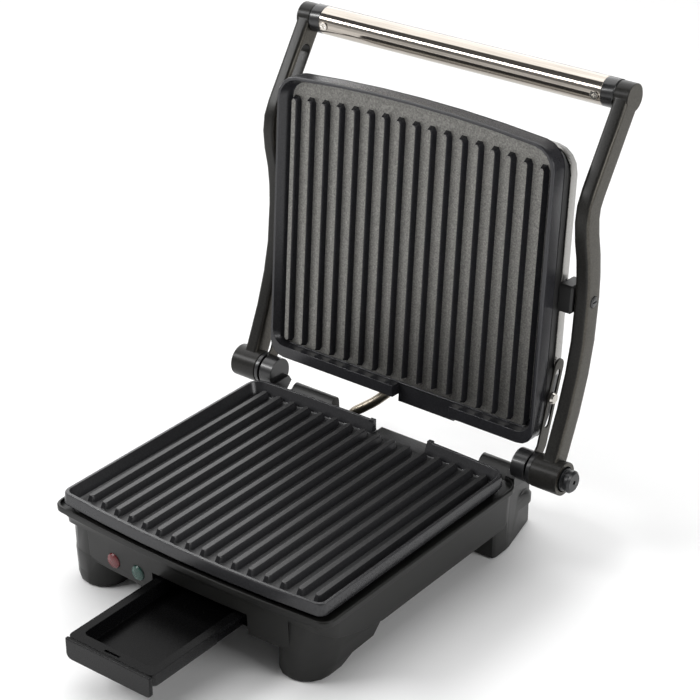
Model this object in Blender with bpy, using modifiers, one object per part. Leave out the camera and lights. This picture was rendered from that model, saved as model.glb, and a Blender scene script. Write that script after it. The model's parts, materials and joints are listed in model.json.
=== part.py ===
"""Contact grill (panini press) with a hinged lid plate, drip tray and release button."""

import math

import bmesh
import bpy
from mathutils import Matrix, Vector

# ---------------------------------------------------------------- driving dimensions (mm)
# The datum is the centre of the lower plate's rim, at the height of the rim's top.
DATUM = (-5.5, -9.0, 82.0)

PLATE_HALF = 145.0
PLATE_FRONT = -138.7
PLATE_REAR = 135.4
FRONT_BOW = 7.3
REAR_BOW = 4.1
RIM_FACE = 11.0
FLOOR_Z = -11.5
PAN_BOTTOM = -16.0
RIB_TOP = -5.5
RIB_PITCH = 16.84
LOWER_RIBS = 16
UPPER_RIBS = 17
RIB_BASE = 10.4
RIB_CREST = 4.6

FLANGE_HALF = 153.0
FLANGE_TOP = -13.0
SKIRT_BOTTOM = -56.0
LEG_INNER = 91.0
LEG_BOTTOM = -81.0
FOOT_BOTTOM = -82.0

LAMPS = (-80.5, -51.0)
LAMP_Z = -43.5

HINGE = (159.0, -5.0)
EAR_RADIUS = 14.5
BARREL_RADIUS = 15.5
EAR_INNER = 138.6
EAR_OUTER = 152.4
BARREL_INNER = 159.0
BARREL_OUTER = 187.0
BUTTON_END = 197.0
PIN_RADIUS = 4.0

ARM_INNER = 165.0
ARM_OUTER = 179.0
ARM_DEPTH = 22.0
HANDLE = (255.0, 321.5)
HANDLE_RADIUS = 13.25
HANDLE_HALF = 152.2
PIVOT = (205.5, 148.5)
CONDUIT_RADIUS = 4.9
BLOCKS = ((-122.0, -73.0), (97.0, 133.5))

LID_ANGLE = math.radians(85.91)
LID_OFFSET = 168.7
LID_HALF = 150.5
LID_LOW = 24.5
LID_HIGH = 311.0
LID_BOW = 8.0
LID_RIM = 11.0
LID_FLOOR = 0.0
LID_RIB_TOP = 6.0
LID_BACK = -48.0

TRAY_LEFT = -29.0
TRAY_RIGHT = 65.0
TRAY_FRONT = -250.0
TRAY_INNER = -52.0
TRAY_TOP = -38.0
TRAY_BOTTOM = -52.0

MM = 0.001
GAP = 0.3

# ---------------------------------------------------------------- scene helpers


def clear_scene():
    for old in list(bpy.data.objects):
        bpy.data.objects.remove(old, do_unlink=True)


def collection(name):
    made = bpy.data.collections.new(name)
    bpy.context.scene.collection.children.link(made)
    return made


clear_scene()
PARTS = collection("panini_press")
CUTTERS = collection("cutters")

BASE = Matrix.Translation(Vector(DATUM) * MM)


def lid_frame():
    """Frame with x across the lid, y up its face and z out of its ribs."""
    up = Vector((0.0, math.cos(LID_ANGLE), math.sin(LID_ANGLE)))
    out = Vector((0.0, -math.sin(LID_ANGLE), math.cos(LID_ANGLE)))
    frame = Matrix.Identity(4)
    for row in range(3):
        frame[row][0] = (1.0, 0.0, 0.0)[row]
        frame[row][1] = up[row]
        frame[row][2] = out[row]
        frame[row][3] = -out[row] * LID_OFFSET * MM
    return BASE @ frame


LID = lid_frame()


def lid_point(x, s, h):
    """A point of the lid's frame, in mm about the datum."""
    return BASE.inverted() @ (LID @ (Vector((x, s, h)) * MM)) / MM


def axis_empty(name, x, y, z, parent=None):
    """An empty that marks a joint's axis."""
    empty = bpy.data.objects.new(name, None)
    empty.empty_display_size = 0.02
    PARTS.objects.link(empty)
    if parent is not None:
        empty.parent = parent
        empty.matrix_parent_inverse = Matrix.Translation(parent["axis_at"]).inverted()
    at = BASE @ (Vector((x, y, z)) * MM)
    empty["axis_at"] = at
    empty.location = at
    return empty


ARMS_AXIS = axis_empty("arms_axis", 0.0, *HINGE)
LID_AXIS = axis_empty("lid_axis", 0.0, PIVOT[0], PIVOT[1], ARMS_AXIS)
GUIDE_AXIS = axis_empty("guide_axis", 0.0, HINGE[0], HINGE[1], ARMS_AXIS)
TRAY_AXIS = axis_empty("tray_axis", 18.0, TRAY_FRONT, -45.0)
BUTTON_AXIS = axis_empty("button_axis", BUTTON_END, *HINGE)

PALETTE = {
    "black_plastic": ((0.035, 0.035, 0.035), 0.42, 0.0),
    "grey_plastic": ((0.06, 0.06, 0.058), 0.45, 0.0),
    "gloss_black": ((0.012, 0.012, 0.013), 0.18, 0.0),
    "nonstick": ((0.03, 0.03, 0.034), 0.38, 0.2),
    "dark_metal": ((0.10, 0.095, 0.085), 0.34, 0.85),
    "steel": ((0.62, 0.60, 0.56), 0.24, 1.0),
    "bright_steel": ((0.80, 0.79, 0.76), 0.14, 1.0),
    "nickel": ((0.55, 0.52, 0.47), 0.22, 1.0),
    "aluminium": ((0.70, 0.70, 0.70), 0.35, 1.0),
    "brass": ((0.65, 0.47, 0.20), 0.30, 1.0),
    "rubber": ((0.02, 0.02, 0.02), 0.85, 0.0),
    "red_lens": ((0.30, 0.03, 0.035), 0.20, 0.0),
    "green_lens": ((0.02, 0.12, 0.09), 0.20, 0.0),
    "ceramic": ((0.80, 0.78, 0.72), 0.55, 0.0),
}


def paint(obj, kind):
    colour, roughness, metallic = PALETTE[kind]
    material = bpy.data.materials.new(obj.name + "_material")
    material.use_nodes = True
    shader = material.node_tree.nodes["Principled BSDF"]
    shader.inputs["Base Color"].default_value = (*colour, 1.0)
    shader.inputs["Roughness"].default_value = roughness
    shader.inputs["Metallic"].default_value = metallic
    material.diffuse_color = (*colour, 1.0)
    obj.data.materials.clear()
    obj.data.materials.append(material)


def place(obj, frame, parent):
    if parent is not None:
        obj.parent = parent
        obj.matrix_parent_inverse = Matrix.Translation(parent["axis_at"]).inverted()
    obj.matrix_basis = frame


def solid(name, bm, kind, frame=BASE, parent=None):
    """Make a named sub-part from a mesh that is drawn in mm."""
    bmesh.ops.recalc_face_normals(bm, faces=bm.faces)
    bmesh.ops.transform(bm, matrix=Matrix.Scale(MM, 4), verts=bm.verts)
    mesh = bpy.data.meshes.new(name)
    bm.to_mesh(mesh)
    bm.free()
    mesh.shade_smooth()
    mesh.set_sharp_from_angle(angle=math.radians(35.0))
    obj = bpy.data.objects.new(name, mesh)
    PARTS.objects.link(obj)
    place(obj, frame, parent)
    paint(obj, kind)
    return obj


def cutter(name, bm, frame=BASE, parent=None):
    bmesh.ops.recalc_face_normals(bm, faces=bm.faces)
    bmesh.ops.transform(bm, matrix=Matrix.Scale(MM, 4), verts=bm.verts)
    mesh = bpy.data.meshes.new(name)
    bm.to_mesh(mesh)
    bm.free()
    obj = bpy.data.objects.new(name, mesh)
    CUTTERS.objects.link(obj)
    obj.hide_render = True
    obj.display_type = "WIRE"
    place(obj, frame, parent)
    return obj


def combine(obj, other, operation="DIFFERENCE"):
    step = obj.modifiers.new(other.name, "BOOLEAN")
    step.operation = operation
    step.solver = "EXACT"
    step.object = other


def cut(obj, bm, frame=BASE, parent=None):
    combine(obj, cutter(obj.name + "_cut" + str(len(obj.modifiers)), bm, frame, parent))


def join(obj, bm, frame=BASE, parent=None):
    other = cutter(obj.name + "_add" + str(len(obj.modifiers)), bm, frame, parent)
    combine(obj, other, "UNION")


def round_edges(obj, width, segments=2, angle=40.0):
    bevel = obj.modifiers.new("rounded_edges", "BEVEL")
    bevel.width = width * MM
    bevel.segments = segments
    bevel.limit_method = "ANGLE"
    bevel.angle_limit = math.radians(angle)


# ---------------------------------------------------------------- shape helpers (mm)


def box(x0, x1, y0, y1, z0, z1, bm=None):
    bm = bm or bmesh.new()
    size = Vector((x1 - x0, y1 - y0, z1 - z0))
    middle = Vector((x0 + x1, y0 + y1, z0 + z1)) / 2.0
    matrix = Matrix.Translation(middle) @ Matrix.Diagonal((*size, 1.0))
    bmesh.ops.create_cube(bm, size=1.0, matrix=matrix)
    return bm


def rod(radius, start, end, segments=32, bm=None, end_radius=None):
    """A cylinder or cone between two points."""
    bm = bm or bmesh.new()
    start = Vector(start)
    way = Vector(end) - start
    turn = Vector((0.0, 0.0, 1.0)).rotation_difference(way).to_matrix().to_4x4()
    matrix = Matrix.Translation(start + way / 2.0) @ turn
    tip = radius if end_radius is None else end_radius
    bmesh.ops.create_cone(
        bm, cap_ends=True, segments=segments, radius1=radius, radius2=tip,
        depth=way.length, matrix=matrix,
    )
    return bm


def rod_x(radius, x0, x1, y=HINGE[0], z=HINGE[1], segments=32, bm=None):
    return rod(radius, (x0, y, z), (x1, y, z), segments, bm)


def loft(rings, bm=None):
    """Join rings of equal count into one closed solid."""
    bm = bm or bmesh.new()
    rows = []
    for ring in rings:
        rows.append([bm.verts.new(point) for point in ring])
    count = len(rows[0])
    for low, high in zip(rows, rows[1:]):
        for i in range(count):
            j = (i + 1) % count
            bm.faces.new((low[i], low[j], high[j], high[i]))
    bm.faces.new(list(reversed(rows[0])))
    bm.faces.new(rows[-1])
    return bm


def outline(half, low, high, low_bow, high_bow, low_r, high_r, z, steps=6, arc=4):
    """A rounded rectangle whose low and high edges bow outwards."""
    low_corner = low + low_bow
    high_corner = high - high_bow

    def bow(x):
        return max(0.0, 1.0 - (x / half) ** 2)

    points = []
    for i in range(steps + 1):
        x = (half - low_r) * (2.0 * i / steps - 1.0)
        points.append((x, low_corner - low_bow * bow(x), z))
    for i in range(1, arc + 1):
        a = math.pi / 2.0 * i / arc
        x = half - low_r + low_r * math.sin(a)
        points.append((x, low_corner + low_r * (1.0 - math.cos(a)) - low_bow * bow(x), z))
    for i in range(arc):
        a = math.pi / 2.0 * i / arc
        x = half - high_r + high_r * math.cos(a)
        points.append((x, high_corner - high_r * (1.0 - math.sin(a)) + high_bow * bow(x), z))
    for i in range(steps + 1):
        x = (half - high_r) * (1.0 - 2.0 * i / steps)
        points.append((x, high_corner + high_bow * bow(x), z))
    for i in range(1, arc + 1):
        a = math.pi / 2.0 * i / arc
        x = -half + high_r - high_r * math.sin(a)
        points.append((x, high_corner - high_r * (1.0 - math.cos(a)) + high_bow * bow(x), z))
    for i in range(arc):
        a = math.pi / 2.0 * i / arc
        x = -half + low_r - low_r * math.cos(a)
        points.append((x, low_corner + low_r * (1.0 - math.sin(a)) - low_bow * bow(x), z))
    return points


def base_ring(inset, z, corner=7.0):
    """The lower plate's outline, moved in by inset."""
    front_radius = max(3.0, corner - inset * 0.3)
    rear_radius = max(3.0, corner + 6.0 - inset * 0.6)
    return outline(
        PLATE_HALF - inset, PLATE_FRONT + inset, PLATE_REAR - inset,
        FRONT_BOW, REAR_BOW, front_radius, rear_radius, z,
    )


def lid_ring(inset, z, low_extra=0.0, high_extra=0.0):
    """The lid's outline, moved in by inset, with its ends moved in further."""
    low_r = max(3.0, 16.0 - inset * 0.6)
    high_r = max(3.0, 20.0 - inset * 0.6)
    return outline(
        LID_HALF - inset, LID_LOW + inset + low_extra, LID_HIGH - inset - high_extra,
        0.0, LID_BOW, low_r, high_r, z,
    )


def corner_box(x0, x1, y0, y1, z, radii, arc=4):
    """A rectangle with its own radius at each corner, in the order of the turn."""
    corners = (
        (x0, y0, 1, 1, radii[0], 180.0),
        (x1, y0, -1, 1, radii[1], 270.0),
        (x1, y1, -1, -1, radii[2], 0.0),
        (x0, y1, 1, -1, radii[3], 90.0),
    )
    points = []
    for cx, cy, sx, sy, r, first in corners:
        for i in range(arc + 1):
            a = math.radians(first + 90.0 * i / arc)
            points.append((cx + sx * r + r * math.cos(a), cy + sy * r + r * math.sin(a), z))
    return points


def prism_x(points, x0, x1, bm=None):
    """An outline of (y, z) points carried along x."""
    return loft([[(x0, y, z) for y, z in points], [(x1, y, z) for y, z in points]], bm)


def prism_z(points, z0, z1, bm=None):
    return loft([[(x, y, z0) for x, y in points], [(x, y, z1) for x, y in points]], bm)


def strip(path, half_width, arc=6):
    """A band of constant width about a path, with round ends."""
    left = []
    right = []
    for i, point in enumerate(path):
        before = Vector(path[max(0, i - 1)])
        after = Vector(path[min(len(path) - 1, i + 1)])
        way = (after - before).normalized()
        side = Vector((-way.y, way.x)) * half_width
        left.append(Vector(point) + side)
        right.append(Vector(point) - side)
    first = (Vector(path[0]) - Vector(path[1])).normalized()
    last = (Vector(path[-1]) - Vector(path[-2])).normalized()

    def cap(centre, way):
        start = math.atan2(way.y, way.x) - math.pi / 2.0
        made = []
        for k in range(1, arc):
            a = start + math.pi * k / arc
            made.append(Vector(centre) + half_width * Vector((math.cos(a), math.sin(a))))
        return made

    ring = right + cap(path[-1], last) + left[::-1] + cap(path[0], first)
    return [(p.x, p.y) for p in ring]


def turned(name, profile, kind, x, parent=None, sign=1.0, y=HINGE[0], z=HINGE[1], closed=False,
           steps=24):
    """Turn a profile of (radius, distance) pairs about a line along x."""
    bm = bmesh.new()
    verts = [bm.verts.new((r * MM, 0.0, h * MM)) for r, h in profile]
    for a, b in zip(verts, verts[1:]):
        bm.edges.new((a, b))
    if closed:
        bm.edges.new((verts[-1], verts[0]))
    mesh = bpy.data.meshes.new(name)
    bm.to_mesh(mesh)
    bm.free()
    obj = bpy.data.objects.new(name, mesh)
    PARTS.objects.link(obj)
    screw = obj.modifiers.new("turn", "SCREW")
    screw.steps = steps
    screw.render_steps = steps
    screw.use_merge_vertices = True
    screw.merge_threshold = 0.00001
    screw.use_smooth_shade = True
    turn = Matrix.Rotation(math.radians(90.0 * sign), 4, "Y")
    place(obj, BASE @ Matrix.Translation(Vector((x, y, z)) * MM) @ turn, parent)
    paint(obj, kind)
    return obj


def tube(name, points, radius, kind, resolution=2, parent=None, frame=BASE):
    """A wire or tube along a computed path, welded into a mesh."""
    data = bpy.data.curves.new(name + "_path", "CURVE")
    data.dimensions = "3D"
    data.bevel_depth = radius * MM
    data.bevel_resolution = resolution
    data.use_fill_caps = True
    line = data.splines.new("POLY")
    line.points.add(len(points) - 1)
    for spot, point in zip(line.points, points):
        spot.co = (point[0] * MM, point[1] * MM, point[2] * MM, 1.0)
    guide = bpy.data.objects.new(name + "_path", data)
    PARTS.objects.link(guide)
    guide.matrix_basis = frame
    bpy.context.view_layer.update()
    graph = bpy.context.evaluated_depsgraph_get()
    mesh = bpy.data.meshes.new_from_object(guide.evaluated_get(graph))
    bm = bmesh.new()
    bm.from_mesh(mesh)
    bmesh.ops.remove_doubles(bm, verts=bm.verts, dist=0.00001)
    bmesh.ops.recalc_face_normals(bm, faces=bm.faces)
    bm.to_mesh(mesh)
    bm.free()
    mesh.shade_smooth()
    mesh.set_sharp_from_angle(angle=math.radians(50.0))
    obj = bpy.data.objects.new(name, mesh)
    PARTS.objects.link(obj)
    place(obj, frame, parent)
    bpy.data.objects.remove(guide, do_unlink=True)
    paint(obj, kind)
    return obj


def smooth_path(knots, count):
    """Points along a Catmull-Rom curve through the knots."""
    knots = [Vector(k) for k in knots]
    ends = [2 * knots[0] - knots[1]] + knots + [2 * knots[-1] - knots[-2]]
    points = []
    for i in range(count + 1):
        t = i / count * (len(knots) - 1)
        k = min(int(t), len(knots) - 2)
        u = t - k
        a, b, c, d = ends[k:k + 4]
        points.append(0.5 * (
            2 * b + (c - a) * u + (2 * a - 5 * b + 4 * c - d) * u ** 2
            + (3 * b - a - 3 * c + d) * u ** 3
        ))
    return points


def rib_loft(bm, x, low, high, base_z, top_z):
    """One rib with sloping flanks and rounded ends, along y."""
    rings = []
    rise = top_z - base_z
    levels = ((0.0, RIB_BASE), (0.8, 6.2), (1.0, RIB_CREST))
    for part, width in levels:
        r = width / 2.0
        lift = base_z - 0.8 if part == 0.0 else base_z + rise * part
        ring = []
        start = low + RIB_BASE / 2.0
        end = high - RIB_BASE / 2.0
        for k in range(4):
            a = math.pi * k / 3.0
            ring.append((x + r * math.cos(a), end + r * math.sin(a), lift))
        for k in range(4):
            a = math.pi + math.pi * k / 3.0
            ring.append((x + r * math.cos(a), start + r * math.sin(a), lift))
        rings.append(ring)
    loft(rings, bm)


def mirror_pair(build):
    """Build a left and a right sub-part from one recipe."""
    build("left", -1.0)
    build("right", 1.0)


# ---------------------------------------------------------------- base


def base_housing():
    def ring(inset, z, corner=10.0, rear=141.0):
        return outline(
            FLANGE_HALF - inset, -143.0 + inset * 0.72, rear, 7.3, 0.0,
            corner, 14.0, z,
        )

    band = solid("base_housing", loft([
        ring(7.0, SKIRT_BOTTOM, 16.0), ring(6.0, -50.0, 17.0), ring(4.4, -24.0, 19.0),
        ring(3.0, -20.0), ring(0.0, -18.2), ring(0.0, -14.0), ring(0.8, FLANGE_TOP),
    ]), "grey_plastic")
    for side in (-1.0, 1.0):
        cut(band, crease_cutter(side))
    join(band, rear_body())
    cut(band, loft([
        ring(2.2, -16.5), ring(2.2, -11.0),
    ]))
    cut(band, loft([
        outline(141.5, -135.2, 132.0, 7.3, 3.0, 8.0, 8.0, -24.0),
        outline(141.5, -135.2, 132.0, 7.3, 3.0, 8.0, 8.0, -10.0),
    ]))
    cut(band, loft([
        outline(141.2, -134.2, 132.0, 7.3, 0.0, 12.0, 10.0, -70.0),
        outline(143.2, -136.2, 132.0, 7.3, 0.0, 12.0, 10.0, -20.0),
    ]))
    cut(band, loft([
        corner_box(-139.0, 139.0, 100.0, 184.0, -70.0, (4, 4, 8, 8)),
        corner_box(-139.0, 139.0, 100.0, 176.0, -47.0, (4, 4, 8, 8)),
    ]))
    for side in (-1.0, 1.0):
        join(band, front_leg(side))
        join(band, rear_leg(side))
    for x0, x1 in BLOCKS:
        join(band, raised_block(x0, x1))
    cut(band, block_hollow(*BLOCKS[0]))
    cut(band, box(-34.0, 70.0, -160.0, -120.0, -70.0, -36.0))
    lamps = rod(7.3, (LAMPS[0], -150.0, LAMP_Z), (LAMPS[0], -125.0, LAMP_Z), 24)
    rod(7.3, (LAMPS[1], -150.0, LAMP_Z), (LAMPS[1], -125.0, LAMP_Z), 24, lamps)
    cut(band, lamps)
    for side in (-1.0, 1.0):
        cut(band, rod(9.3, (side * 114.0, -114.0, -90.0), (side * 114.0, -114.0, -77.0), 28))
        cut(band, rod(9.3, (side * 114.7, 158.3, -90.0), (side * 114.7, 158.3, -77.0), 28))
    cut(band, rod(6.9, (-63.0, 174.0, -60.0), (-63.0, 174.0, -30.0), 24))
    cut(band, rod(5.7, (40.0, 200.0, -49.0), (40.0, 165.0, -49.0), 24))
    return band


def crease_cutter(side):
    """Trims the band under the curved crease at a front corner."""
    curve = [
        (-170.0, -17.0), (-149.0, -19.0), (-141.0, -22.0), (-131.0, -29.0),
        (-116.0, -38.0), (-97.0, -45.0), (-76.0, -51.0), (-50.0, -56.5), (-50.0, -90.0),
        (-170.0, -90.0),
    ]
    return prism_x(curve, side * 112.0, side * 165.0)


def front_leg(side):
    """A corner leg that steps back under the skirt and tapers to its foot."""
    levels = (
        (-19.5, 107.0, 146.6, -132.6, -50.0, 27.0, 3.0),
        (-52.0, 107.0, 145.0, -134.0, -50.0, 28.0, 3.0),
        (-52.3, LEG_INNER, 145.0, -134.2, -50.0, 28.0, 20.0),
        (-56.0, LEG_INNER, 144.8, -134.8, -51.0, 28.0, 20.0),
        (-69.5, LEG_INNER, 141.6, -135.8, -57.0, 26.0, 21.0),
        (-70.6, LEG_INNER, 141.3, -135.9, -85.0, 26.0, 21.0),
        (-77.5, LEG_INNER, 139.2, -136.6, -94.0, 24.0, 21.5),
        (LEG_BOTTOM, LEG_INNER + 1.0, 137.2, -136.0, -95.0, 22.0, 20.5),
    )
    rings = []
    for z, inner, outer, front, back, radius, inner_radius in levels:
        if side > 0.0:
            radii = (inner_radius, radius, 3.0, 3.0)
            rings.append(corner_box(inner, outer, front, back, z, radii))
        else:
            radii = (radius, inner_radius, 3.0, 3.0)
            rings.append(corner_box(-outer, -inner, front, back, z, radii))
    return loft(rings)


def rear_body():
    """The low part of the housing behind the plate."""
    return loft([
        corner_box(-140.0, 140.0, 120.0, 188.0, SKIRT_BOTTOM, (6, 6, 12, 12)),
        corner_box(-141.0, 141.0, 120.0, 187.0, -48.0, (6, 6, 12, 12)),
        corner_box(-141.0, 141.0, 120.0, 182.0, -43.5, (6, 6, 12, 12)),
        corner_box(-140.0, 140.0, 120.0, 176.0, -41.0, (6, 6, 12, 12)),
    ])


def raised_block(x0, x1):
    """A block on the rear housing with a sloping front and a rounded top."""
    profile = [
        (147.0, -46.0), (149.0, -24.0), (158.0, -14.6), (160.5, -12.8), (163.5, -12.0),
        (166.0, -12.6), (167.6, -14.2), (168.4, -17.0), (170.0, -46.0),
    ]
    return prism_x(profile, x0, x1)


def block_hollow(x0, x1):
    profile = [
        (149.8, -50.0), (151.6, -25.0), (159.2, -18.0), (163.5, -15.6), (165.6, -18.5),
        (167.2, -50.0),
    ]
    return prism_x(profile, x0 + 2.5, x1 - 2.5)


def rear_leg(side):
    """A block that narrows rearwards, cut to its side profile."""
    plan = [
        (96.0, 112.0), (143.5, 112.0), (145.6, 116.0), (145.6, 132.0), (144.8, 138.0),
        (133.5, 186.0), (130.5, 190.5), (126.0, 192.0), (100.0, 192.0), (96.0, 188.0),
    ]
    profile = [
        (112.5, LEG_BOTTOM), (190.0, LEG_BOTTOM), (193.0, -76.0), (193.0, -44.0),
        (187.0, -36.0), (176.0, -29.0), (163.0, -25.0), (145.0, -24.0), (134.0, -26.0),
        (112.5, -36.0),
    ]
    block = prism_z([(side * x, y) for x, y in plan], LEG_BOTTOM - 2.0, -10.0)
    bmesh.ops.recalc_face_normals(block, faces=block.faces)
    shape = solid("leg_block_" + ("right" if side > 0 else "left"), block, "grey_plastic")
    combine(shape, cutter(shape.name + "_profile", prism_x(profile, side * 90.0, side * 150.0)),
            "INTERSECT")
    bpy.context.view_layer.update()
    graph = bpy.context.evaluated_depsgraph_get()
    mesh = bpy.data.meshes.new_from_object(shape.evaluated_get(graph))
    bm = bmesh.new()
    bm.from_mesh(mesh)
    bmesh.ops.transform(bm, matrix=Matrix.Scale(1.0 / MM, 4), verts=bm.verts)
    bpy.data.objects.remove(shape, do_unlink=True)
    return bm


def base_bottom_cover():
    plan = [
        (-88.0, -128.0), (88.0, -128.0), (88.0, -46.0), (138.0, -46.0), (138.0, 108.0),
        (92.0, 108.0), (92.0, 181.0), (-92.0, 181.0), (-92.0, 108.0), (-138.0, 108.0),
        (-138.0, -46.0), (-88.0, -46.0),
    ]
    cover = solid("base_bottom_cover", prism_z(plan, -58.5, -56.3), "black_plastic")
    rails = box(-33.0, -31.0, -124.0, 62.0, -57.5, -48.0)
    box(67.0, 69.0, -124.0, 62.0, -57.5, -48.0, rails)
    join(cover, rails)


def rib_front(x):
    return PLATE_FRONT + FRONT_BOW * (x / PLATE_HALF) ** 2 + 15.4


def lower_grill_plate():
    plate = solid("lower_grill_plate", loft([
        base_ring(6.0, PAN_BOTTOM), base_ring(5.0, PAN_BOTTOM + 0.8), base_ring(5.0, -RIM_FACE - 0.01),
        base_ring(-0.6, -RIM_FACE), base_ring(0.0, -1.2), base_ring(0.7, 0.0),
    ]), "nonstick")
    cut(plate, loft([
        base_ring(9.4, FLOOR_Z), base_ring(7.8, FLOOR_Z + 0.9), base_ring(2.9, 0.0),
        base_ring(2.6, 1.0),
    ]))
    cut(plate, box(-4.0, 57.0, 122.0, 150.0, -11.2, 5.0))
    ribs = bmesh.new()
    for k in range(LOWER_RIBS):
        x = (k - (LOWER_RIBS - 1) / 2.0) * RIB_PITCH
        rib_loft(ribs, x, rib_front(x), 127.0, FLOOR_Z, RIB_TOP)
    join(plate, ribs)
    spout = box(-3.6, 56.6, 128.0, 144.0, -14.2, -11.2)
    join(plate, spout)
    tabs = box(-9.0, -4.0, 131.5, 135.8, -9.0, 0.6)
    box(57.0, 62.0, 131.5, 135.8, -9.0, 0.6, tabs)
    join(plate, tabs)
    return plate


def rounded_loop(half_x, low, high, radius, arc=4):
    """Centre line of a heating element's loop, open at the high side."""
    points = [(-18.0, high, 0.0), (-half_x + radius, high, 0.0)]
    for cx, cy, first in (
        (-half_x + radius, high - radius, 90.0), (-half_x + radius, low + radius, 180.0),
        (half_x - radius, low + radius, 270.0), (half_x - radius, high - radius, 0.0),
    ):
        for k in range(arc + 1):
            a = math.radians(first + 90.0 * k / arc)
            points.append((cx + radius * math.cos(a), cy + radius * math.sin(a), 0.0))
    points.append((18.0, high, 0.0))
    return points


def lower_heating():
    path = [(x, y, -19.7) for x, y, _ in rounded_loop(96.0, -88.0, 92.0, 30.0)]
    tube("lower_heating_element", path, 3.2, "dark_metal")
    reflector = box(-103.0, 103.0, -112.0, 112.0, -29.0, -28.0)
    sheet = solid("lower_reflector", reflector, "aluminium")
    cut(sheet, rod(5.0, (-85.0, 60.0, -32.0), (-85.0, 60.0, -26.0), 24))


def base_electrics():
    thermostat = rod(11.0, (-85.0, 60.0, -37.5), (-85.0, 60.0, -29.4), 24)
    solid("thermostat", thermostat, "ceramic")
    solid("thermal_fuse", rod(3.0, (82.0, 74.0, -33.4), (82.0, 96.0, -33.4), 16), "brass")
    block = solid("terminal_block", box(-78.0, -50.0, 96.0, 116.0, -56.0, -44.0), "ceramic")
    holes = rod(2.2, (-71.0, 90.0, -50.0), (-71.0, 120.0, -50.0), 16)
    rod(2.2, (-64.0, 90.0, -50.0), (-64.0, 120.0, -50.0), 16, holes)
    rod(2.2, (-57.0, 90.0, -50.0), (-57.0, 120.0, -50.0), 16, holes)
    cut(block, holes)
    carrier = solid("lamp_carrier", box(-92.0, -40.0, -131.6, -126.0, -53.0, -34.0),
                    "black_plastic")
    bulbs = rod(2.6, (LAMPS[0], -140.0, LAMP_Z), (LAMPS[0], -120.0, LAMP_Z), 16)
    rod(2.6, (LAMPS[1], -140.0, LAMP_Z), (LAMPS[1], -120.0, LAMP_Z), 16, bulbs)
    cut(carrier, bulbs)


def lens(name, x, kind):
    """A domed round lens in the front skirt."""
    front = PLATE_FRONT + FRONT_BOW * (x / PLATE_HALF) ** 2
    profile = [
        (0.0, 1.2), (3.6, 1.0), (6.2, 0.2), (7.0, -0.6), (7.0, -3.0), (6.4, -5.6), (0.0, -5.6),
    ]
    made = turned(name, profile, kind, 0.0)
    turn = Matrix.Rotation(math.radians(90.0), 4, "X")
    made.matrix_basis = BASE @ Matrix.Translation(Vector((x, front - 1.6, LAMP_Z)) * MM) @ turn


def feet():
    for label, x, y in (
        ("front_left", -114.0, -114.0), ("front_right", 114.0, -114.0),
        ("rear_left", -114.7, 158.3), ("rear_right", 114.7, 158.3),
    ):
        rings = []
        for radius, z in ((8.2, FOOT_BOTTOM), (9.0, FOOT_BOTTOM + 0.8), (9.0, -77.3)):
            ring = []
            for k in range(24):
                a = 2.0 * math.pi * k / 24.0
                ring.append((x + radius * math.cos(a), y + radius * math.sin(a), z))
            rings.append(ring)
        solid("foot_" + label, loft(rings), "rubber")


def inlet_gland():
    """Round inlet for the mains lead at the back of the housing."""
    profile = [
        (5.4, 0.0), (5.4, -8.6), (6.8, -8.6), (6.8, -10.6), (5.0, -12.0), (3.2, -12.0),
        (3.2, 0.0),
    ]
    gland = turned("cord_inlet_gland", profile, "rubber", 0.0, closed=True)
    turn = Matrix.Rotation(math.radians(90.0), 4, "X")
    gland.matrix_basis = BASE @ Matrix.Translation(Vector((40.0, 180.0, -49.0)) * MM) @ turn


# ---------------------------------------------------------------- hinge


def hinge_bracket(label, side):
    """An ear on a web that stands on the rear block."""
    web = [
        (144.6, -23.6), (163.4, -24.6), (171.5, -16.0), (168.0, -10.0), (150.0, -10.0),
        (144.6, -14.0),
    ]
    ear = solid("hinge_bracket_" + label,
                rod_x(EAR_RADIUS, side * EAR_INNER, side * EAR_OUTER, segments=64),
                "gloss_black")
    join(ear, prism_x(web, side * 134.0, side * (EAR_INNER + 5.0)))
    cut(ear, rod_x(PIN_RADIUS + GAP, side * (EAR_INNER + 5.9), side * 170.0, segments=24))


def hinge_pin(label, side):
    end = 182.0 if side < 0.0 else 169.0
    solid("hinge_pin_" + label,
          rod_x(PIN_RADIUS, side * (EAR_INNER + 6.4), side * end, segments=24), "steel")


def hinge_ring(label, side):
    profile = [
        (15.0, 4.0), (15.0, 0.0), (PIN_RADIUS + GAP, 0.0), (PIN_RADIUS + GAP, 4.0),
    ]
    turned("hinge_ring_" + label, profile, "gloss_black", side * 154.6, ARMS_AXIS, side,
           closed=True)


def conduit():
    """Metal conduit that carries the wires from the housing to the lid."""
    knots = [
        (-63.0, 174.0, -39.0), (-62.5, 174.0, -32.5), (-57.5, 174.0, -26.0),
        (-48.0, 174.0, -18.5), (-36.0, 175.0, -9.0), (-27.0, 176.0, -0.5),
        (-22.4, 177.0, 4.2), (-21.1, 177.3, 7.9),
    ]
    tube("conduit", smooth_path(knots, 24), CONDUIT_RADIUS, "nickel", resolution=2)
    profile = [(6.9, 4.0), (8.8, 2.0), (8.8, 0.3), (6.6, 0.0), (6.6, -3.6), (5.3, -3.6), (5.3, 4.0)]
    grommet = turned("conduit_base_grommet", profile, "black_plastic", 0.0, closed=True)
    grommet.matrix_basis = BASE @ Matrix.Translation(Vector((-63.0, 174.0, -40.6)) * MM)


# ---------------------------------------------------------------- arms


def arm_path():
    knots = [
        HANDLE, (228.2, 281.0), (206.5, 248.6), (201.0, 238.0), (199.2, 226.0),
        (200.5, 210.0), (204.5, 190.0), (206.2, 170.0), (206.0, 150.0), (202.0, 110.0),
        (195.0, 80.0), (184.0, 48.0), (168.0, 12.0), HINGE,
    ]
    return knots


def arm_direction():
    way = Vector(arm_path()[1]) - Vector(HANDLE)
    return way.normalized()


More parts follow.
